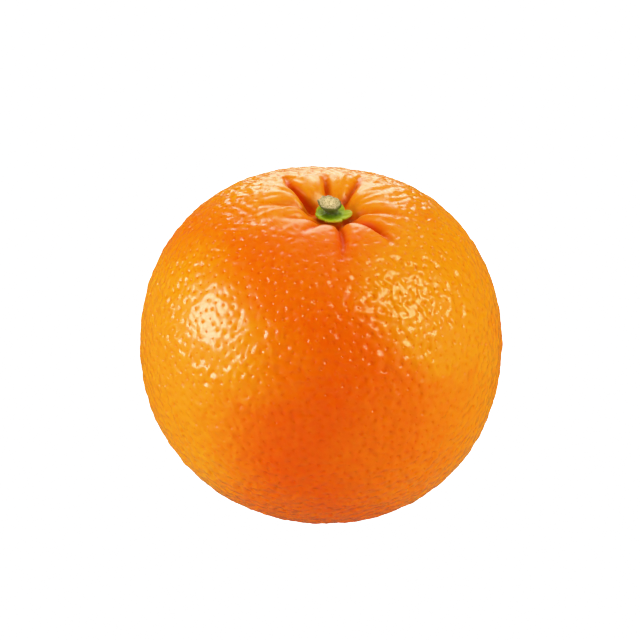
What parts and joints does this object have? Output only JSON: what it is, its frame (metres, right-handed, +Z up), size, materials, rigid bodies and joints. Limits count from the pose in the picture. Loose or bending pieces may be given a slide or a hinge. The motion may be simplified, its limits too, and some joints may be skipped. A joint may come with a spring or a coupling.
{
  "type": "orange",
  "caption": "Ripe whole orange with pitted peel, puckered stem end, green calyx and cut stem stub, resting on a small flat spot.",
  "frame": {"origin": "on the surface that the fruit rests on, under the middle of the fruit", "axes": "+Z up, from the blossom end to the stem end; +X towards the side that the stem end leans to"},
  "size_m": [0.0786, 0.078, 0.0726],
  "materials": {
    "peel": "waxy pitted orange peel, semi-gloss",
    "calyx": "matte green dried sepals",
    "cut_stem": "dry cut green wood"
  },
  "bodies": {
    "root": {"fruit": "peel", "calyx": "calyx", "stem_stub": "cut_stem"}
  },
  "joints": []
}
